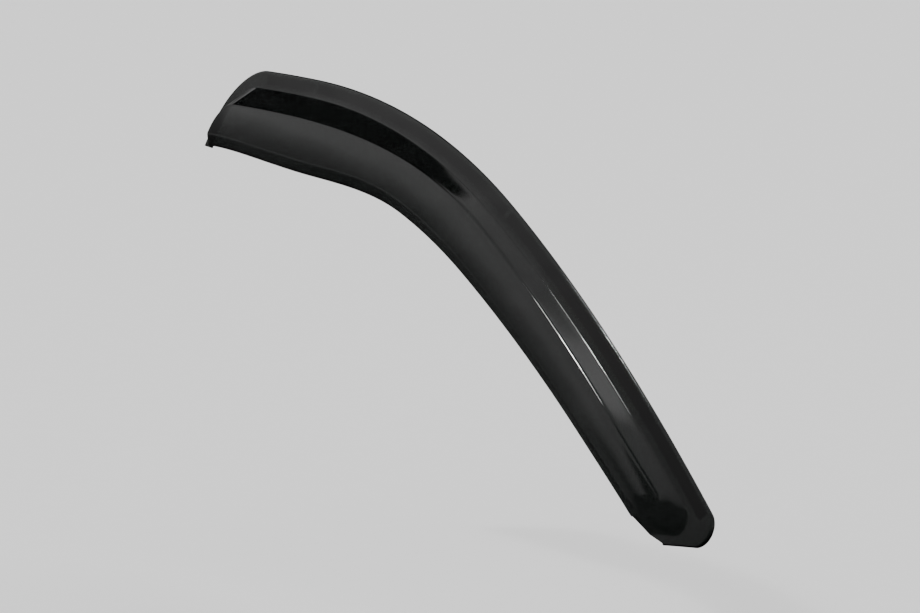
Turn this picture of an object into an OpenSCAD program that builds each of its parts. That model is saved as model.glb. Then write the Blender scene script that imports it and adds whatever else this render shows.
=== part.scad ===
// Window rain deflector for a window on the right-hand side, in the place and at the slant in which it is
// fitted. It is one moulding of smoked acrylic, held by foam tape. From a narrow flange the section steps out
// to a face that stands clear of the opening, and along the lower edge a lip folds back in. The step runs
// round both ends, so the hollow behind the face is open only at the back and along the bottom.
// +X points to the nose, +Y from the face to the bonded side and +Z up. The origin lies on the bonded face of
// the tape, on the middle line of the tape and half way along the flange.

/* [Run of the flange edge] */
// Length of the steep front stretch
pillar_run = 510; // [420:5:620]
// How far the edge turns towards level along it, degrees
pillar_turn = 12.5; // [6:0.5:16]
// Length of the bend
bend_run = 425; // [320:5:520]
// How far the edge turns round the bend, degrees
bend_turn = 21; // [12:0.5:28]
// Length of the nearly level rear stretch
roof_run = 170; // [120:5:320]
// How far the edge turns along it, degrees
roof_turn = 3; // [0.5:0.5:6]
// Slope of the edge at its rear end, degrees
rear_slope = 1; // [-2:0.5:4]

/* [Bonded surface] */
// Inward lean of the surface at the origin, degrees from upright
side_lean = 25.5; // [15:0.5:35]
// Radius of its outward curve, seen from the front
side_r = 2200; // [1400:50:4000]
// Radius of its outward curve, seen from above
plan_r = 11000; // [6000:500:20000]

/* [Section] */
// Thickness of the acrylic
wall = 3; // [2:0.1:3.4]
// Width of the bonded flange
flange_w = 19; // [17:0.5:22]
// Height of the face over the bonded surface
stand_off = 18; // [15:0.5:22]
// Run of the step from the flange to the face, on the front stretch
pillar_step = 13.5; // [11.5:0.5:17]
// Run of the same step where it has flattened out, on the rear stretch
roof_step = 26.5; // [18:0.5:30]
// Radius in the hollow bend where the step leaves the flange
foot_r = 2.5; // [1.5:0.5:4]
// Radius over the ridge where the step meets the face
ridge_r = 5; // [4:0.5:6]
// Radius to which the face bulges, between its ridge and its lower edge
crown_r = 180; // [120:10:600]
// Width of the whole section at the front
front_w = 64; // [60:1:72]
// Width of the whole section at the rear
rear_w = 89; // [86:1:102]
// How far the lower edge bows down past the bend
belly = 11; // [0:1:16]
// Length of that bow, up to the rear end
belly_run = 450; // [360:10:560]

/* [Lip along the lower edge] */
// Width of the lip
lip_w = 11; // [8:0.5:14]
// How far it folds in, degrees
lip_turn = 36; // [15:1:50]
// Radius of the fold
lip_r = 6; // [3:0.5:9]

/* [Rear end] */
// Width of the flange down the rear end
end_flange = 13; // [10:0.5:18]
// Run of the step across the rear end
end_step = 12; // [11.5:0.5:16]
// Corner radius of the ridge, between the step on top and the step at the end
ridge_corner_r = 28; // [22:1:32]

/* [Nose] */
// Rake of the front edge against a square cut, degrees
nose_rake = 50; // [35:1:56]
// Width of the flange along the front edge
nose_flange = 8; // [6:0.5:12]
// Run of the step behind the front edge
nose_step = 14; // [12:0.5:20]
// Height of the face over the flange at the tip
nose_rise = 4; // [2:0.5:8]
// Length over which the face comes up to its full height
nose_run = 230; // [150:5:300]
// Radius of the flange at the tip
tip_r = 15; // [10:0.5:18]
// Radius of the ridge behind the tip
nose_corner_r = 10; // [8:0.5:14]
// Length over which the lower edge rises towards the front edge
chin_run = 120; // [90:5:150]
// Radius of that rise
chin_r = 150; // [120:5:300]
// How far the lower corners of the flange are cut back, at both ends
chin_cut = 2; // [1:0.5:6]

/* [Foam tape] */
// Width of the tape
tape_w = 9.5; // [6:0.5:11]
// Thickness of the tape, once pressed down
tape_t = 1.1; // [0.5:0.1:1.6]
// Bare flange between its edge and the tape
tape_inset = 4.5; // [3:0.5:6]
// Drain gap between one strip and the next
tape_gap = 8; // [3:1:20]
// Bare flange between each end of the tape line and the rounded corners
tape_margin = 6; // [2:1:30]

/* [Smoothness] */
// Sections along the run between the two rounded ends
run_steps = 62; // [40:1:64]
// Sections round the rear corner
corner_steps = 12; // [8:1:14]
// Sections round the nose
nose_steps = 18; // [12:2:20]
// Steps round each bend of the section
bend_steps = 4; // [3:1:4]

/* [Hidden] */

side_steps = 3;
edge_steps = 4;
face_steps = 4;
fold_steps = 3;
settle_steps = 12;

run_len = pillar_run + bend_run + roof_run;
flange_h = tape_t + wall;
rise = stand_off - flange_h;
half = wall / 2;
taper = (rear_w - front_w) / run_len;
tape_mid = tape_inset + tape_w / 2;

function mix(a, b, t) = a + (b - a) * t;
function unit(v) = v / norm(v);
function smooth(t) = let (u = min(max(t, 0), 1)) u * u * (3 - 2 * u);

// Flange edge, drawn on the bonded surface laid flat, as three arcs that meet smoothly. The distance s runs
// from the nose to the rear. Places on the flat surface are [forward, up].
roof_slope = rear_slope + roof_turn;
bend_slope = roof_slope + bend_turn;
nose_slope = bend_slope + pillar_turn;
function arc_at(slope, turn, run, s) =
    let (r = run / (turn * PI / 180), now = slope - turn * s / run)
    r * [sin(now) - sin(slope), cos(now) - cos(slope)];
bend_start = arc_at(nose_slope, pillar_turn, pillar_run, pillar_run);
roof_start = bend_start + arc_at(bend_slope, bend_turn, bend_run, bend_run);
function edge_at(s) =
    let (bend_s = s - pillar_run, roof_s = bend_s - bend_run)
    bend_s <= 0 ? arc_at(nose_slope, pillar_turn, pillar_run, s)
    : roof_s <= 0 ? bend_start + arc_at(bend_slope, bend_turn, bend_run, bend_s)
    : roof_start + arc_at(roof_slope, roof_turn, roof_run, roof_s);
function slope_at(s) =
    let (bend_s = s - pillar_run, roof_s = bend_s - bend_run)
    bend_s <= 0 ? nose_slope - pillar_turn * s / pillar_run
    : roof_s <= 0 ? bend_slope - bend_turn * bend_s / bend_run
    : roof_slope - roof_turn * roof_s / roof_run;

// Place on the flat surface, at distance s along the edge and w across from it
function side_at(s, w) = edge_at(s) - w * [sin(slope_at(s)), cos(slope_at(s))];
origin_at = side_at(run_len / 2, tape_mid);
rear_at = edge_at(run_len)[0] - origin_at[0];

// Point in space, h above the place p = [s, w] on the bonded surface, which leans in and bulges both ways
function lift(p, h) =
    let (place = side_at(p[0], p[1]) - origin_at,
         lean = side_lean + place[1] / side_r * 180 / PI,
         ahead = place[0] - rear_at,
         bulge = (ahead * ahead - rear_at * rear_at) / (2 * plan_r),
         outward = unit([ahead / plan_r * cos(lean), -cos(lean), sin(lean)]))
    [place[0], side_r * (cos(side_lean) - cos(lean)) + bulge, side_r * (sin(lean) - sin(side_lean))]
    + h * outward;

// Run of the step, width of the whole section and height of the face over the flange. The width grows evenly
// to the rear, with a bow in the lower edge past the bend and a rise to the front edge under the nose.
function step_at(s) = mix(pillar_step, roof_step, smooth((s - pillar_run) / bend_run));
function bow_at(s) = belly * smooth(2 * min(s - run_len + belly_run, run_len - s) / belly_run);
function chin_at(s) = let (ahead = max(chin_run - s, 0)) ahead * ahead / (2 * chin_r);
function width_at(s) = front_w + taper * s + bow_at(s) - chin_at(s);
function rise_at(s) = mix(nose_rise, rise, smooth(s / nose_run));

// Stations from the lower corner of the nose up round the tip, back along the top, round the rear corner and
// down the rear end. Each is [stretch, share of that stretch].
stations = [for (stretch = [0:4])
    let (steps = [side_steps, nose_steps, run_steps, corner_steps, side_steps][stretch])
    for (i = [0:steps - (stretch < 4 ? 1 : 0)]) [stretch, i / steps]];

// An outline follows those stations at its own distances in from the edges. It is written as
// [top inset, copies of the step in that inset, nose inset, nose radius, rear inset, rear radius, inset of
// its low ends, share of the stretch round the nose that lies on the straight to each side of the tip].
function top_inset(o, s) = o[0] + o[1] * step_at(s);
function nose_side(o, w) = (o[2] + w * sin(nose_rake)) / cos(nose_rake);
function nose_centre(o) = let (w = top_inset(o, 0) + o[3]) [nose_side(o, w) + o[3] / cos(nose_rake), w];
function rear_side(o) = run_len - o[4];
function rear_centre(o) = let (s = rear_side(o) - o[5]) [s, top_inset(o, s) + o[5]];
function rear_low(o) = [rear_side(o), width_at(rear_side(o)) - o[6]];

// Where the front straight of an outline meets the lower edge, found by stepping from one to the other
function nose_low(o, s = chin_run, steps = settle_steps) =
    let (w = width_at(s) - o[6], met = nose_side(o, w))
    steps == 0 ? [met, w] : nose_low(o, met, steps - 1);

// The stretch round the nose is one arc on the ridge. On the two outlines in front of it, it takes in some of
// the straight to each side of the arc, so that the sections fan out round the tip.
function nose_top(o) = let (s = nose_centre(ridge_line)[0]) [s, top_inset(o, s)];
function nose_arc_end(o) = nose_centre(o) + o[3] * [-cos(nose_rake), sin(nose_rake)];
function nose_bottom(o) = mix(nose_arc_end(o), nose_low(o), 2 * o[7]);
function round_nose(o, t) =
    let (straight = o[7],
         f = (90 + nose_rake) * (1 - (t - straight) / (1 - 2 * straight)))
    t < straight ? mix(nose_bottom(o), nose_arc_end(o), t / straight)
    : t <= 1 - straight ? nose_centre(o) - o[3] * [sin(f), cos(f)]
    : mix(nose_centre(o) - [0, o[3]], nose_top(o), (t - 1 + straight) / straight);
function outline_at(o, stretch, t) =
    stretch == 0 ? mix(nose_low(o), nose_bottom(o), t)
    : stretch == 1 ? round_nose(o, t)
    : stretch == 2 ? let (s = mix(nose_top(o)[0], rear_centre(o)[0], t)) [s, top_inset(o, s)]
    : stretch == 3 ? rear_centre(o) + o[5] * [sin(90 * t), -cos(90 * t)]
    : mix(rear_centre(o) + [o[5], 0], rear_low(o), t);

// Edge of the flange, foot of the step and ridge over it. Round the rear corner they share one centre, about.
foot_corner_r = ridge_corner_r + (end_step + roof_step) / 2;
edge_corner_r = foot_corner_r + (end_flange + flange_w) / 2 - half;
foot_tip_r = (tip_r + nose_corner_r) / 2;
edge_line = [half, 0, half, tip_r, half, edge_corner_r, chin_cut, 0.3];
foot_line = [flange_w, 0, nose_flange, foot_tip_r, end_flange, foot_corner_r, chin_cut / 2, 0.3];
ridge_line = [flange_w, 1, nose_flange + nose_step, nose_corner_r, end_flange + end_step, ridge_corner_r,
    half + chin_cut / 2, 0];

// Lower edge of the face. Its stations start a little way in from the ridge at both ends and fan out over
// about half the width of the section.
fan_start = 0.04 * front_w;
fan_reach = 0.53 * front_w;
function low_edge_at(stretch, t) =
    let (nose_end = nose_low(ridge_line)[0] + fan_start,
         rear_end = rear_side(ridge_line) - fan_start,
         s = stretch < 2 ? mix(nose_end, nose_end + fan_reach, (stretch + t) / 2)
             : stretch == 2 ? mix(nose_end + fan_reach, rear_end - fan_reach, t)
             : mix(rear_end - fan_reach, rear_end, (stretch - 3 + t) / 2))
    [s, width_at(s) - half];

// Step between flange and face: a hollow arc, a straight slope and an arc over the ridge, meeting smoothly.
// Each point is [share of the run, height over the flange].
function step_section(run, rise) =
    let (both = foot_r + ridge_r,
         slope_len = sqrt(run * run + rise * (rise - 2 * both)),
         turn = atan2(rise - both, run) + atan2(both, slope_len),
         turns = [for (i = [0:bend_steps]) turn * i / bend_steps])
    let (foot = [for (f = turns) [foot_r * sin(f) / run, foot_r * (1 - cos(f))]],
         ridge = [for (i = [bend_steps:-1:0])
             [1 - ridge_r * sin(turns[i]) / run, rise - ridge_r * (1 - cos(turns[i]))]])
    concat(foot, [mix(foot[bend_steps], ridge[0], 0.5)], ridge);

// Lip: how far it has come in at a distance past the start of its fold, how far the place p lies in from the
// lower edge, and the share of the height that the lip leaves there. Near both ends the ridge lies in the lip
// too, and the section keeps to this largest share of lip.
most_lip = 0.8;
lip_fold = lip_r * sin(lip_turn);
function lip_fall(past) =
    past <= 0 ? 0
    : past <= lip_fold ? lip_r - sqrt(lip_r * lip_r - past * past)
    : lip_r * (1 - cos(lip_turn)) + (past - lip_fold) * tan(lip_turn);
function depth_at(p) = width_at(p[0]) - half - p[1];
function lip_share(p) = 1 - lip_fall(lip_w - depth_at(p)) / rise;

// Outer skin at one station, as points in space: flange, step, face and lip
function skin_at(stretch, t) =
    let (edge = outline_at(edge_line, stretch, t),
         foot = outline_at(foot_line, stretch, t),
         ridge = outline_at(ridge_line, stretch, t),
         low = low_edge_at(stretch, t),
         face_w = norm(low - ridge),
         lip = lip_w / max(depth_at(ridge), lip_w / most_lip),
         face = concat([for (i = [1:face_steps]) (1 - lip) * i / face_steps],
                       [for (i = [1:fold_steps]) 1 - lip + lip * lip_fold / lip_w * i / fold_steps],
                       [1]))
    concat(
        [lift(edge, flange_h), lift(mix(edge, foot, 0.8), flange_h)],
        [for (q = step_section(norm(ridge - foot), rise_at(ridge[0])))
            let (p = mix(foot, ridge, q[0])) lift(p, flange_h + q[1] * lip_share(p))],
        [for (f = face)
            let (p = mix(ridge, low, f), crown = face_w * face_w * f * (1 - f) / (2 * crown_r))
                lift(p, flange_h + rise_at(p[0]) * lip_share(p) + crown)]);

// Direction from station to station at point j, and the direction square to the skin there
function along_at(skin, i, j) = unit(skin[min(i + 1, len(skin) - 1)][j] - skin[max(i - 1, 0)][j]);
function square_to(skin, i, j) =
    unit(cross(along_at(skin, i, j), skin[i][min(j + 1, len(skin[0]) - 1)] - skin[i][max(j - 1, 0)]));

// Half round edge of the sheet, from the outer skin at p to the inner one, bulging square to the edge
function round_edge(p, normal, out) =
    [for (i = [1:edge_steps - 1])
        let (f = 180 * i / edge_steps) p + half * ((cos(f) - 1) * normal + sin(f) * out)];

// Closed ring round the sheet at station i: outer skin, lower edge, inner skin and flange edge
function sheet_ring(skin, i) =
    let (row = skin[i],
         last = len(row) - 1,
         normals = [for (j = [0:last]) square_to(skin, i, j)],
         top = round_edge(row[0], normals[0], cross(along_at(skin, i, 0), normals[0])))
    concat(
        row,
        round_edge(row[last], normals[last], cross(normals[last], along_at(skin, i, last))),
        [for (j = [last:-1:0]) row[j] - wall * normals[j]],
        [for (j = [len(top) - 1:-1:0]) top[j]]);

// Faces of a closed skin over rings of equal length: the tube between them and a cap on each end.
// A cap is zipped up across its ring, beginning at the given point of the ring.
function tube(rings, n) =
    [for (i = [0:rings - 2], j = [0:n - 1])
        let (a = i * n + j, b = i * n + (j + 1) % n) each [[a, b, b + n], [a, b + n, a + n]]];
function cap(first, n, begin) =
    [for (i = [0:n / 2 - 1])
        let (left = first + (begin + i) % n,
             left_next = first + (begin + i + 1) % n,
             right = first + (begin - i + n) % n,
             right_next = first + (begin - i - 1 + n) % n)
        each concat(
            left_next == right_next ? [] : [[left, left_next, right_next]],
            left == right ? [] : [[left, right_next, right]])];
function turned(faces) = [for (f = faces) [f[2], f[1], f[0]]];
module skin_over(rings, begin) {
    n = len(rings[0]);
    polyhedron(
        points = [for (ring = rings) each ring],
        faces = concat(tube(len(rings), n), turned(cap(0, n, begin)), cap((len(rings) - 1) * n, n, begin)));
}

module visor() {
    skin = [for (st = stations) skin_at(st[0], st[1])];
    rings = [for (i = [0:len(skin) - 1]) sheet_ring(skin, i)];
    color([0.16, 0.17, 0.18]) skin_over(rings, len(rings[0]) - edge_steps / 2);
}

// Strip of foam tape behind the flange
module tape(from, to) {
    steps = ceil((to - from) * run_steps / run_len);
    near = tape_inset;
    far = tape_inset + tape_w;
    color([0.07, 0.07, 0.075])
        skin_over([for (i = [0:steps]) let (s = mix(from, to, i / steps))
            [lift([s, near], 0), lift([s, near], tape_t), lift([s, far], tape_t), lift([s, far], 0)]], 0);
}

// The tape keeps clear of the rounded corners and is parted where the edge starts and stops bending
module pillar_tape() tape(nose_centre(edge_line)[0] + tape_margin, pillar_run - tape_gap / 2);
module bend_tape() tape(pillar_run + tape_gap / 2, pillar_run + bend_run - tape_gap / 2);
module roof_tape() tape(pillar_run + bend_run + tape_gap / 2, rear_centre(edge_line)[0] - tape_margin);

visor();
pillar_tape();
bend_tape();
roof_tape();
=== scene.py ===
"""Looks of a stick-on window rain deflector: smoked acrylic, and the foam tape that holds it."""

from collections import namedtuple
from math import atan2, cos, pi, radians, sin, sqrt, tan

import bpy
from mathutils import Matrix, Vector


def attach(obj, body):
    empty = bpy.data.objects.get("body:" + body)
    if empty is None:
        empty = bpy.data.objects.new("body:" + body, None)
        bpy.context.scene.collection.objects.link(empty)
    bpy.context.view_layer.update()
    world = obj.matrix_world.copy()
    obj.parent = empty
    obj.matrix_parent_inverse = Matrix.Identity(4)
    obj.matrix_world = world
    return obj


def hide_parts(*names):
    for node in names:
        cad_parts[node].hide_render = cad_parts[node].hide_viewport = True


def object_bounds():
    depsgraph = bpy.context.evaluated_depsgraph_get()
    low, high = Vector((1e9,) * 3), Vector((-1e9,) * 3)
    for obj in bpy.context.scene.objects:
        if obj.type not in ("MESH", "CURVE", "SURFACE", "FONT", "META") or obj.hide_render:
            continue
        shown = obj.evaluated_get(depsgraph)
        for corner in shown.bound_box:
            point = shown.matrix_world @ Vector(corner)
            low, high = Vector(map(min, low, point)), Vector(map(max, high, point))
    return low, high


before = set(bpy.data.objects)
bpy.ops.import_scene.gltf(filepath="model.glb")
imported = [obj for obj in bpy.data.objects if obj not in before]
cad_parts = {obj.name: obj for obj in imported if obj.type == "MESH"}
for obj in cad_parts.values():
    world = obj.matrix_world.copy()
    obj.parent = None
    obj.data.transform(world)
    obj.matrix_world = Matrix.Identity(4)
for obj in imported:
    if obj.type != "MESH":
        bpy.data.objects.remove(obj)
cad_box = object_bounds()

# Run of the flange edge, in metres and degrees
PILLAR_RUN, PILLAR_TURN = 0.510, 12.5
BEND_RUN, BEND_TURN = 0.425, 21.0
ROOF_RUN, ROOF_TURN = 0.170, 3.0
REAR_SLOPE = 1.0

# Surface that the strip is bonded to
SIDE_LEAN = 25.5
SIDE_R = 2.2
PLAN_R = 11.0

# Section
WALL = 0.003
TAPE_T = 0.0011
FLANGE_W = 0.019
STAND_OFF = 0.018
PILLAR_STEP = 0.0135
ROOF_STEP = 0.0265
FOOT_R = 0.0025
RIDGE_R = 0.005
CROWN_R = 0.180
FRONT_W = 0.064
REAR_W = 0.089
BELLY = 0.011
BELLY_RUN = 0.450
TAPE_MID = 0.00925

# Lip along the lower edge
LIP_W = 0.011
LIP_TURN = radians(36)
LIP_R = 0.006
MOST_LIP = 0.8

# Rear end
END_FLANGE = 0.013
END_STEP = 0.012
RIDGE_CORNER_R = 0.028

# Nose
NOSE_RAKE = radians(50)
NOSE_FLANGE = 0.008
NOSE_STEP = 0.014
NOSE_RISE = 0.004
NOSE_RUN = 0.230
TIP_R = 0.015
NOSE_CORNER_R = 0.010
CHIN_RUN = 0.120
CHIN_R = 0.150
CHIN_CUT = 0.002

# How finely the strip is drawn
NOSE_SIDE_STEPS = 10
NOSE_STEPS = 72
RUN_STEPS = 300
CORNER_STEPS = 60
END_STEPS = 12
FLANGE_SHARES = (0, 0.08, 0.3, 0.6, 0.85)
BEND_STEPS = 8
SLOPE_STEPS = 4
FACE_STEPS = 14
FOLD_STEPS = 8
LIP_STEPS = 4
EDGE_STEPS = 8
SETTLE_STEPS = 13
SHARP_EDGE = radians(38)

RUN_LEN = PILLAR_RUN + BEND_RUN + ROOF_RUN
FLANGE_H = TAPE_T + WALL
RISE = STAND_OFF - FLANGE_H
HALF_WALL = WALL / 2
TAPER = (REAR_W - FRONT_W) / RUN_LEN


class Socket:
    """A shader socket that can be used in Python sums. Each sum adds its Math node."""

    def __init__(self, finish, socket):
        self.finish = finish
        self.socket = socket

    def sum(self, operation, first, second):
        return self.finish.node("ShaderNodeMath", {"operation": operation}, {0: first, 1: second})

    def __add__(self, other):
        return self.sum("ADD", self, other)

    def __sub__(self, other):
        return self.sum("SUBTRACT", self, other)

    def __rsub__(self, other):
        return self.sum("SUBTRACT", other, self)

    def __mul__(self, other):
        return self.sum("MULTIPLY", self, other)

    __radd__ = __add__
    __rmul__ = __mul__


def set_stops(ramp, stops):
    """Stops of a grey ramp, as (place, level)."""
    while len(ramp.elements) < len(stops):
        ramp.elements.new(1.0)
    for element, (place, level) in zip(ramp.elements, stops):
        element.position = place
        element.color = (level, level, level, 1)


class Finish:
    """The node tree of a material or of the world, written as expressions."""

    def __init__(self, owner):
        self.owner = owner
        owner.use_nodes = True
        self.tree = owner.node_tree
        self.tree.nodes.clear()

    def node(self, kind, settings=None, inputs=None, output=0):
        """Adds a node, sets it, feeds its sockets with values or links, and gives one of its outputs."""
        made = self.tree.nodes.new(kind)
        for name, value in (settings or {}).items():
            if name == "stops":
                set_stops(made.color_ramp, value)
            else:
                setattr(made, name, value)
        for name, value in (inputs or {}).items():
            if isinstance(value, Socket):
                self.tree.links.new(value.socket, made.inputs[name])
            else:
                made.inputs[name].default_value = value
        return Socket(self, made.outputs[output]) if made.outputs else None

    def place(self):
        """Where a point lies on the object, in metres."""
        return self.node("ShaderNodeTexCoord", output="Object")

    def stretched(self, scale):
        """The same place, stretched along each axis."""
        return self.node("ShaderNodeMapping", inputs={"Vector": self.place(), "Scale": scale})

    def noise(self, place, scale, detail=3.0, roughness=0.5):
        return self.node(
            "ShaderNodeTexNoise",
            inputs={"Vector": place, "Scale": scale, "Detail": detail, "Roughness": roughness},
        )

    def between(self, value, low, high):
        """0 below low, 1 above high, smooth between them."""
        return self.node(
            "ShaderNodeMapRange",
            {"interpolation_type": "SMOOTHSTEP"},
            {"Value": value, "From Min": low, "From Max": high},
        )

    def blend(self, share, first, second):
        """Mixes two colours."""
        inputs = {"Factor": share, 6: first, 7: second}
        return self.node("ShaderNodeMix", {"data_type": "RGBA"}, inputs, output=2)

    def bump(self, height, depth):
        """Normal of a surface that stands proud by height times depth, in metres."""
        return self.node("ShaderNodeBump", inputs={"Height": height, "Distance": depth, "Strength": 1.0})

    def surface(self, **sockets):
        """Ends the tree with a Principled shader."""
        inputs = {name.replace("_", " "): value for name, value in sockets.items()}
        shader = self.node("ShaderNodeBsdfPrincipled", inputs=inputs)
        self.node("ShaderNodeOutputMaterial", inputs={"Surface": shader})
        return self.owner


# Smoked acrylic. Its colours are what the sheet lets through, clear and hazy.
CLEAR_SMOKE = (0.0045, 0.0055, 0.005, 1)
HAZY_SMOKE = (0.0075, 0.0085, 0.008, 1)
ACRYLIC_IOR = 1.49
POLISH = 0.035
RIPPLE_STRETCH = (6.0, 14.0, 14.0)
RIPPLE_SCALE = 1.6
RIPPLE_DEPTH = 0.0006
PEEL_SCALE = 90.0
PEEL_SHARE = 0.02
HAZE_STRETCH = (3.0, 9.0, 9.0)
HAZE_SCALE = 4.0
HAZE_FADE = (0.42, 0.75)
HAZE_DULLS = 0.03
RUBS_STRETCH = (12.0, 300.0, 300.0)
RUBS_SCALE = 1.0
RUBS_FADE = (0.6, 0.8)
RUBS_DULL = 0.03

# Foam tape
FOAM_BLACK = (0.022, 0.022, 0.024, 1)
DUSTY_BLACK = (0.05, 0.05, 0.052, 1)
FOAM_ROUGHNESS = 0.8
FOAM_DEPTH = 0.0002
CELL_SCALE = 2200.0
CELL_SHARE = 0.6
HOLLOW_SCALE = 120.0
HOLLOWS_DULL = 0.15
DUST_SCALE = 700.0
DUST_FADE = (0.55, 0.8)

# Studio floor
FLOOR_DARKER = (0.87, 0.87, 0.87, 1)
FLOOR_PALER = (0.89, 0.89, 0.89, 1)
FLOOR_GRAIN_SCALE = 40.0
FLOOR_ROUGHNESS = 0.9
FLOOR_SHEEN = 0.2


def smoked_acrylic():
    """Dark smoke acrylic, polished, with the faint ripple that heat-forming leaves and a little haze."""
    finish = Finish(bpy.data.materials.new("smoked_acrylic"))
    ripple = finish.noise(finish.stretched(RIPPLE_STRETCH), RIPPLE_SCALE, detail=1.0)
    peel = finish.noise(finish.place(), PEEL_SCALE, detail=2.0)
    clouds = finish.noise(finish.stretched(HAZE_STRETCH), HAZE_SCALE, detail=4.0)
    haze = finish.between(clouds, *HAZE_FADE)
    streaks = finish.noise(finish.stretched(RUBS_STRETCH), RUBS_SCALE)
    rubs = finish.between(streaks, *RUBS_FADE)
    return finish.surface(
        Base_Color=finish.blend(haze, CLEAR_SMOKE, HAZY_SMOKE),
        Roughness=POLISH + haze * HAZE_DULLS + rubs * RUBS_DULL,
        Normal=finish.bump(ripple + peel * PEEL_SHARE, RIPPLE_DEPTH),
        IOR=ACRYLIC_IOR,
        Transmission_Weight=1.0,
    )


def foam():
    """Closed-cell acrylic foam, matt black, with cut cells and pressed hollows."""
    finish = Finish(bpy.data.materials.new("foam_tape"))
    grain = {"Vector": finish.place(), "Scale": CELL_SCALE}
    cells = finish.node("ShaderNodeTexVoronoi", {"feature": "F1"}, grain, output="Distance")
    hollows = finish.noise(finish.place(), HOLLOW_SCALE, detail=4.0)
    dust = finish.between(finish.noise(finish.place(), DUST_SCALE, detail=2.0), *DUST_FADE)
    return finish.surface(
        Base_Color=finish.blend(dust, FOAM_BLACK, DUSTY_BLACK),
        Roughness=FOAM_ROUGHNESS + hollows * HOLLOWS_DULL,
        Normal=finish.bump(cells * CELL_SHARE + hollows, FOAM_DEPTH),
    )


def pale_floor():
    """Plain pale studio floor."""
    finish = Finish(bpy.data.materials.new("pale_floor"))
    grain = finish.noise(finish.place(), FLOOR_GRAIN_SCALE, detail=2.0)
    return finish.surface(
        Base_Color=finish.blend(grain, FLOOR_DARKER, FLOOR_PALER),
        Roughness=FLOOR_ROUGHNESS,
        Specular_IOR_Level=FLOOR_SHEEN,
    )


def mix(a, b, share):
    return a + (b - a) * share


def smooth(share):
    """0 to 1 with a level start and end."""
    held = min(max(share, 0.0), 1.0)
    return held * held * (3 - 2 * held)


# The bonded surface laid flat. s runs back along the flange edge from the nose, w across the strip.
ROOF_SLOPE = REAR_SLOPE + ROOF_TURN
BEND_SLOPE = ROOF_SLOPE + BEND_TURN
NOSE_SLOPE = BEND_SLOPE + PILLAR_TURN


def arc_at(slope, turn, run, s):
    """Place at s on an arc that starts at the given slope and turns over the given run."""
    radius = run / radians(turn)
    start, now = radians(slope), radians(slope - turn * s / run)
    return Vector((sin(now) - sin(start), cos(now) - cos(start))) * radius


BEND_START = arc_at(NOSE_SLOPE, PILLAR_TURN, PILLAR_RUN, PILLAR_RUN)
ROOF_START = BEND_START + arc_at(BEND_SLOPE, BEND_TURN, BEND_RUN, BEND_RUN)


def edge_at(s):
    """Place on the flange edge, and the edge's slope there in radians."""
    bend_s = s - PILLAR_RUN
    roof_s = bend_s - BEND_RUN
    if bend_s <= 0:
        place = arc_at(NOSE_SLOPE, PILLAR_TURN, PILLAR_RUN, s)
        return place, radians(NOSE_SLOPE - PILLAR_TURN * s / PILLAR_RUN)
    if roof_s <= 0:
        place = BEND_START + arc_at(BEND_SLOPE, BEND_TURN, BEND_RUN, bend_s)
        return place, radians(BEND_SLOPE - BEND_TURN * bend_s / BEND_RUN)
    place = ROOF_START + arc_at(ROOF_SLOPE, ROOF_TURN, ROOF_RUN, roof_s)
    return place, radians(ROOF_SLOPE - ROOF_TURN * roof_s / ROOF_RUN)


def side_at(s, w):
    place, slope = edge_at(s)
    return place - w * Vector((sin(slope), cos(slope)))


ORIGIN_AT = side_at(RUN_LEN / 2, TAPE_MID)
REAR_AT = edge_at(RUN_LEN)[0].x - ORIGIN_AT.x


def lift(flat, height):
    """Point in space at a height over the place flat = (s, w) on the leaning, bulging surface."""
    place = side_at(flat.x, flat.y) - ORIGIN_AT
    start = radians(SIDE_LEAN)
    lean = start + place.y / SIDE_R
    ahead = place.x - REAR_AT
    bulge = (ahead * ahead - REAR_AT * REAR_AT) / (2 * PLAN_R)
    outward = Vector((ahead / PLAN_R * cos(lean), -cos(lean), sin(lean))).normalized()
    lean_y = SIDE_R * (cos(start) - cos(lean))
    lean_z = SIDE_R * (sin(lean) - sin(start))
    return Vector((place.x, lean_y + bulge, lean_z)) + outward * height


def step_at(s):
    """Run of the step between flange and face."""
    return mix(PILLAR_STEP, ROOF_STEP, smooth((s - PILLAR_RUN) / BEND_RUN))


def width_at(s):
    """Width of the section, with the bow in the lower edge and its rise to the front edge."""
    bow = BELLY * smooth(2 * min(s - RUN_LEN + BELLY_RUN, RUN_LEN - s) / BELLY_RUN)
    ahead = max(CHIN_RUN - s, 0)
    return FRONT_W + TAPER * s + bow - ahead * ahead / (2 * CHIN_R)


def rise_at(s):
    """Height of the face over the flange."""
    return mix(NOSE_RISE, RISE, smooth(s / NOSE_RUN))


# An outline runs round the strip at its own distances in from the edges: top inset, copies of the step in
# that inset, nose inset and radius, rear inset and radius, inset of its low ends, and the share of the
# stretch round the nose that lies on the straight to each side of the tip.
Outline = namedtuple("Outline", "top steps nose nose_r rear rear_r cut straight")

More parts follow.
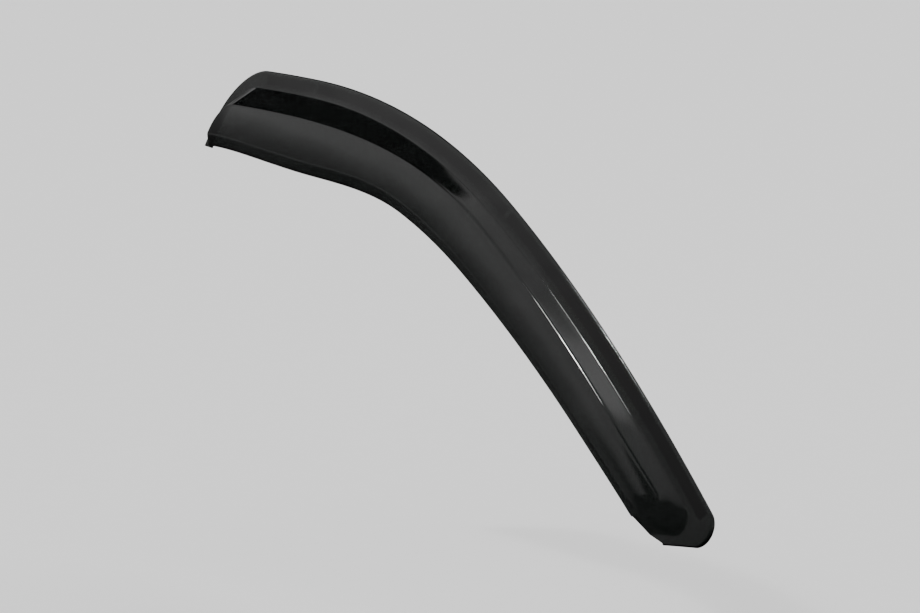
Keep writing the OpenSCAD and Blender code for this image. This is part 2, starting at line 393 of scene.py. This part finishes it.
TIP_STRAIGHT = 0.3
FOOT_CORNER_R = RIDGE_CORNER_R + (END_STEP + ROOF_STEP) / 2
EDGE_CORNER_R = FOOT_CORNER_R + (END_FLANGE + FLANGE_W) / 2 - HALF_WALL
EDGE = Outline(
    top=HALF_WALL, steps=0, nose=HALF_WALL, nose_r=TIP_R, rear=HALF_WALL, rear_r=EDGE_CORNER_R,
    cut=CHIN_CUT, straight=TIP_STRAIGHT,
)
FOOT = Outline(
    top=FLANGE_W, steps=0, nose=NOSE_FLANGE, nose_r=(TIP_R + NOSE_CORNER_R) / 2, rear=END_FLANGE,
    rear_r=FOOT_CORNER_R, cut=CHIN_CUT / 2, straight=TIP_STRAIGHT,
)
RIDGE = Outline(
    top=FLANGE_W, steps=1, nose=NOSE_FLANGE + NOSE_STEP, nose_r=NOSE_CORNER_R,
    rear=END_FLANGE + END_STEP, rear_r=RIDGE_CORNER_R, cut=HALF_WALL + CHIN_CUT / 2, straight=0,
)


def top_inset(line, s):
    return line.top + line.steps * step_at(s)


def nose_side(line, w):
    """Where the raked front edge of an outline is, at w across the strip."""
    return (line.nose + w * sin(NOSE_RAKE)) / cos(NOSE_RAKE)


def nose_centre(line):
    w = top_inset(line, 0) + line.nose_r
    return Vector((nose_side(line, w) + line.nose_r / cos(NOSE_RAKE), w))


def nose_low(line):
    """Where the front straight meets the lower edge, found by stepping from one to the other."""
    s = CHIN_RUN
    for _ in range(SETTLE_STEPS):
        w = width_at(s) - line.cut
        s = nose_side(line, w)
    return Vector((s, w))


def nose_arc_end(line):
    return nose_centre(line) + line.nose_r * Vector((-cos(NOSE_RAKE), sin(NOSE_RAKE)))


def nose_bottom(line):
    return nose_arc_end(line).lerp(nose_low(line), 2 * line.straight)


def nose_top(line):
    s = nose_centre(RIDGE).x
    return Vector((s, top_inset(line, s)))


def round_nose(line, share):
    """Up the straight, round the tip and back along the top."""
    arc_share = (share - line.straight) / (1 - 2 * line.straight)
    if arc_share < 0:
        return nose_bottom(line).lerp(nose_arc_end(line), share / line.straight)
    if arc_share <= 1:
        angle = (pi / 2 + NOSE_RAKE) * (1 - arc_share)
        return nose_centre(line) - line.nose_r * Vector((sin(angle), cos(angle)))
    arc_top = nose_centre(line) - Vector((0, line.nose_r))
    return arc_top.lerp(nose_top(line), (share - 1 + line.straight) / line.straight)


def rear_centre(line):
    s = RUN_LEN - line.rear - line.rear_r
    return Vector((s, top_inset(line, s) + line.rear_r))


def rear_low(line):
    s = RUN_LEN - line.rear
    return Vector((s, width_at(s) - line.cut))


def outline_at(line, stretch, share):
    """Place on an outline. The stretches are nose side, nose, top, rear corner and rear end."""
    if stretch == 0:
        return nose_low(line).lerp(nose_bottom(line), share)
    if stretch == 1:
        return round_nose(line, share)
    centre = rear_centre(line)
    if stretch == 2:
        s = mix(nose_top(line).x, centre.x, share)
        return Vector((s, top_inset(line, s)))
    if stretch == 3:
        angle = share * pi / 2
        return centre + line.rear_r * Vector((sin(angle), -cos(angle)))
    return (centre + Vector((line.rear_r, 0))).lerp(rear_low(line), share)


FAN_START = 0.04 * FRONT_W
FAN_REACH = 0.53 * FRONT_W


def low_edge_at(stretch, share):
    """Place on the lower edge of the face, which the sections reach in a fan at both ends."""
    nose_end = nose_low(RIDGE).x + FAN_START
    rear_end = RUN_LEN - RIDGE.rear - FAN_START
    if stretch < 2:
        s = mix(nose_end, nose_end + FAN_REACH, (stretch + share) / 2)
    elif stretch == 2:
        s = mix(nose_end + FAN_REACH, rear_end - FAN_REACH, share)
    else:
        s = mix(rear_end - FAN_REACH, rear_end, (stretch - 3 + share) / 2)
    return Vector((s, width_at(s) - HALF_WALL))


def step_section(run, rise):
    """The step as (share of the run, height): hollow arc, straight slope and arc over the ridge."""
    both = FOOT_R + RIDGE_R
    slope_len = sqrt(run * run + rise * (rise - 2 * both))
    turn = atan2(rise - both, run) + atan2(both, slope_len)
    turns = [turn * i / BEND_STEPS for i in range(BEND_STEPS + 1)]
    foot = [(FOOT_R * sin(a) / run, FOOT_R * (1 - cos(a))) for a in turns]
    ridge = [(1 - RIDGE_R * sin(a) / run, rise - RIDGE_R * (1 - cos(a))) for a in reversed(turns)]
    low, high = foot[-1], ridge[0]
    shares = [i / SLOPE_STEPS for i in range(1, SLOPE_STEPS)]
    slope = [(mix(low[0], high[0], share), mix(low[1], high[1], share)) for share in shares]
    return foot + slope + ridge


LIP_FOLD = LIP_R * sin(LIP_TURN)


def lip_fall(past):
    """How far the lip has come in at a distance past the start of its fold."""
    if past <= 0:
        return 0.0
    if past <= LIP_FOLD:
        return LIP_R - sqrt(LIP_R * LIP_R - past * past)
    return LIP_R * (1 - cos(LIP_TURN)) + (past - LIP_FOLD) * tan(LIP_TURN)


def depth_at(flat):
    """How far a place lies in from the lower edge."""
    return width_at(flat.x) - HALF_WALL - flat.y


def lip_share(flat):
    """Share of the height that is left in the lip."""
    return 1 - lip_fall(LIP_W - depth_at(flat)) / RISE


def skin_at(stretch, share):
    """Outer skin at one station: flange, step, crowned face and lip."""
    edge, foot, ridge = (outline_at(line, stretch, share) for line in (EDGE, FOOT, RIDGE))
    low = low_edge_at(stretch, share)
    row = [lift(edge.lerp(foot, i), FLANGE_H) for i in FLANGE_SHARES]
    for along, height in step_section((ridge - foot).length, rise_at(ridge.x)):
        flat = foot.lerp(ridge, along)
        row.append(lift(flat, FLANGE_H + height * lip_share(flat)))
    face_w = (low - ridge).length
    lip = LIP_W / max(depth_at(ridge), LIP_W / MOST_LIP)
    fold = lip * LIP_FOLD / LIP_W
    shares = [(1 - lip) * i / FACE_STEPS for i in range(1, FACE_STEPS + 1)]
    shares += [1 - lip + fold * i / FOLD_STEPS for i in range(1, FOLD_STEPS + 1)]
    shares += [1 - (lip - fold) * (1 - i / LIP_STEPS) for i in range(1, LIP_STEPS + 1)]
    for i in shares:
        flat = ridge.lerp(low, i)
        crown = face_w * face_w * i * (1 - i) / (2 * CROWN_R)
        row.append(lift(flat, FLANGE_H + rise_at(flat.x) * lip_share(flat) + crown))
    return row


def strip_skin():
    """Rows of the outer skin, from the nose's lower corner round to the rear end's lower corner."""
    steps = (NOSE_SIDE_STEPS, NOSE_STEPS, RUN_STEPS, CORNER_STEPS, END_STEPS)
    rows = [skin_at(stretch, i / count) for stretch, count in enumerate(steps) for i in range(count)]
    return rows + [skin_at(len(steps) - 1, 1)]


def round_edge(point, normal, out):
    """Half round edge of the sheet, from the outer skin to the inner one."""
    angles = [pi * i / EDGE_STEPS for i in range(1, EDGE_STEPS)]
    return [point + HALF_WALL * ((cos(a) - 1) * normal + sin(a) * out) for a in angles]


def sheet_ring(skin, i):
    """Closed ring round the sheet at one station."""
    row = skin[i]
    before, after = skin[max(i - 1, 0)], skin[min(i + 1, len(skin) - 1)]
    last = len(row) - 1
    along = [(after[j] - before[j]).normalized() for j in range(last + 1)]
    across = [row[min(j + 1, last)] - row[max(j - 1, 0)] for j in range(last + 1)]
    normals = [a.cross(b).normalized() for a, b in zip(along, across)]
    low = round_edge(row[last], normals[last], normals[last].cross(along[last]))
    top = round_edge(row[0], normals[0], along[0].cross(normals[0]))
    inner = [point - WALL * normal for point, normal in zip(row, normals)]
    return row + low + inner[::-1] + top[::-1]


def mesh_piece(name, points, faces, finish):
    """A smooth mesh object with one finish."""
    mesh = bpy.data.meshes.new(name)
    mesh.from_pydata(points, [], faces)
    mesh.shade_smooth()
    mesh.set_sharp_from_angle(angle=SHARP_EDGE)
    mesh.materials.append(finish)
    piece = bpy.data.objects.new(name, mesh)
    bpy.context.scene.collection.objects.link(piece)
    return piece


def build_visor(finish):
    """The acrylic strip, drawn finely over the solid that it stands for."""
    skin = strip_skin()
    rings = [sheet_ring(skin, i) for i in range(len(skin))]
    count = len(rings[0])
    points = [point for ring in rings for point in ring]
    faces = []
    for i in range(len(rings) - 1):
        for j in range(count):
            near, side = i * count + j, i * count + (j + 1) % count
            faces.append((near, near + count, side + count, side))
    for first, turn in ((0, 1), ((len(rings) - 1) * count, -1)):
        begin = count - EDGE_STEPS // 2
        for i in range(count // 2):
            left, left_next = first + (begin + i) % count, first + (begin + i + 1) % count
            right, right_next = first + (begin - i) % count, first + (begin - i - 1) % count
            corners = list(dict.fromkeys((left, left_next, right_next, right)))
            faces.append(tuple(corners[::turn]))
    piece = mesh_piece("smoked_strip", points, faces, finish)
    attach(piece, "root")
    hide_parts("visor")
    return piece


def finish_tapes(finish):
    """The three lengths of foam tape keep their solids and get their finish."""
    for name in ("pillar_tape", "bend_tape", "roof_tape"):
        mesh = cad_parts[name].data
        mesh.materials.clear()
        mesh.materials.append(finish)


FLOOR_DROP = 0.10
FLOOR_SIZE = 120.0


def build_floor(finish):
    """Plain floor a little below the nose."""
    reach = FLOOR_SIZE / 2
    z = cad_box[0].z - FLOOR_DROP
    corners = [(-reach, -reach, z), (reach, -reach, z), (reach, reach, z), (-reach, reach, z)]
    floor = mesh_piece("floor", corners, [(0, 1, 2, 3)], finish)
    floor.visible_glossy = False


def sun(name, height, bearing, strength, width, mirrored):
    """A far light, as wide as the given angle, at a height over the horizon and a bearing from +X to +Y.
    A polished surface shows it only where it is mirrored."""
    light = bpy.data.lights.new(name, "SUN")
    light.energy = strength
    light.angle = radians(width)
    up, round_z = radians(height), radians(bearing)
    towards = Vector((cos(up) * cos(round_z), cos(up) * sin(round_z), sin(up)))
    lamp = bpy.data.objects.new(name, light)
    lamp.rotation_euler = towards.to_track_quat("Z", "Y").to_euler()
    lamp.visible_glossy = mirrored
    bpy.context.scene.collection.objects.link(lamp)


# Level of the dome by angle over the horizon, in degrees, on the side ahead of the nose and on the side
# behind the rear end. The one fades into the other along the dome's x.
AHEAD = (
    (-90, 0.02), (-12, 0.03), (-5, 0.10), (0, 0.30), (8, 0.24), (14, 0.25), (18, 0.30), (21, 0.38),
    (24, 0.52), (28, 0.61), (40, 0.50), (60, 0.45), (75, 0.58), (90, 0.60),
)
BEHIND = (
    (-90, 0.02), (-20, 0.03), (-12, 0.06), (-5, 0.12), (0, 0.30), (8, 0.21), (15, 0.13), (19, 0.22),
    (22, 0.38), (24, 0.54), (30, 0.56), (40, 0.50), (60, 0.45), (75, 0.58), (90, 0.60),
)
AHEAD_X = (-0.86, -0.78)

# Dark flags on the dome. Each edge is a fade between two angles over the horizon, or between two places on
# the unit dome along the strip (x) or across it (y).
REAR_FLAG_LOW = (25, 27)
REAR_FLAG_HIGH = (46.5, 49.5)
REAR_FLAG_X = (-0.62, -0.40)
REAR_FLAG_Y = (-0.30, -0.15)
REAR_FLAG_DEPTH = 0.98
NOSE_FLAG_HIGH = (14, 21)
NOSE_FLAG_X = (-0.72, -0.60)
NOSE_FLAG_END = (-0.25, -0.10)
NOSE_FLAG_Y = (-0.45, -0.30)
NOSE_FLAG_DEPTH = 0.85
TIP_FLAG_LOW = (14, 19)
TIP_FLAG_HIGH = (44, 62)
TIP_FLAG_SLANT = 0.6
TIP_FLAG_SIDE = (-0.11, -0.05)
TIP_FLAG_DEPTH = 0.88

# Brighter patch high on the dome behind the strip, which the step mirrors between its two streaks
HIGH_GLOW_LOW = (61, 69)
HIGH_GLOW_HIGH = (71, 79)
HIGH_GLOW_Y = (-0.04, 0.12)
HIGH_GLOW_GAIN = 1.5


def height_of(angle):
    """Height on the unit dome of an angle over the horizon, in degrees."""
    return sin(radians(angle))


def light_dome():
    """Soft light all round with a brighter patch, and dark flags behind the rear end and by the nose."""
    dome = Finish(bpy.data.worlds.new("dome"))
    way = dome.node("ShaderNodeTexCoord", output="Generated")
    x, y, z = (dome.node("ShaderNodeSeparateXYZ", inputs={"Vector": way}, output=i) for i in range(3))

    def levels(angles):
        stops = [((height_of(angle) + 1) / 2, level) for angle, level in angles]
        return dome.node("ShaderNodeValToRGB", {"stops": stops}, {"Fac": (z + 1) * 0.5})

    def past(value, fade):
        return dome.between(value, *fade)

    def over(fade):
        return dome.between(z, height_of(fade[0]), height_of(fade[1]))

    behind = levels(BEHIND)
    level = behind + (levels(AHEAD) - behind) * past(x, AHEAD_X)
    rear = over(REAR_FLAG_LOW) * (1 - over(REAR_FLAG_HIGH))
    rear = rear * past(y, REAR_FLAG_Y) * (1 - past(x, REAR_FLAG_X))
    beside_nose = (1 - past(y, NOSE_FLAG_Y)) * (1 - past(x, NOSE_FLAG_END))
    nose = beside_nose * past(x, NOSE_FLAG_X) * (1 - over(NOSE_FLAG_HIGH))
    tip = beside_nose * past(x - y * TIP_FLAG_SLANT, TIP_FLAG_SIDE)
    tip = tip * over(TIP_FLAG_LOW) * (1 - over(TIP_FLAG_HIGH))
    glow = past(y, HIGH_GLOW_Y) * over(HIGH_GLOW_LOW) * (1 - over(HIGH_GLOW_HIGH))
    flagged = (1 - rear * REAR_FLAG_DEPTH) * (1 - nose * NOSE_FLAG_DEPTH) * (1 - tip * TIP_FLAG_DEPTH)
    light = flagged * (1 + glow * HIGH_GLOW_GAIN)
    background = dome.node("ShaderNodeBackground", inputs={"Color": level, "Strength": light})
    dome.node("ShaderNodeOutputWorld", inputs={"Surface": background})
    bpy.context.scene.world = dome.owner


CAMERA_AT = Vector((3.1543, -1.9239, 0.2871))
AIM_AT = Vector((0.0004, -0.0344, -0.0983))
CAMERA_ROLL = radians(-0.65)
LENS = 162.0
SENSOR_W = 36.0
CLIP_END = 200.0


def build_camera():
    """Looks from in front of the nose, a little from above, with a long lens."""
    camera = bpy.data.cameras.new("camera")
    camera.lens = LENS
    camera.sensor_width = SENSOR_W
    camera.clip_end = CLIP_END
    stand = bpy.data.objects.new("camera", camera)
    turn = (AIM_AT - CAMERA_AT).to_track_quat("-Z", "Y").to_matrix().to_4x4()
    stand.matrix_world = Matrix.Translation(CAMERA_AT) @ turn @ Matrix.Rotation(CAMERA_ROLL, 4, "Z")
    bpy.context.scene.collection.objects.link(stand)
    bpy.context.scene.camera = stand


build_visor(smoked_acrylic())
finish_tapes(foam())
build_floor(pale_floor())
light_dome()
sun("key", height=35, bearing=120, strength=4.4, width=40, mirrored=False)
sun("glint", height=52, bearing=-141.5, strength=0.35, width=3, mirrored=True)
sun("glint_halo", height=52, bearing=-141.5, strength=0.35, width=10, mirrored=True)
build_camera()

bpy.context.view_layer.update()
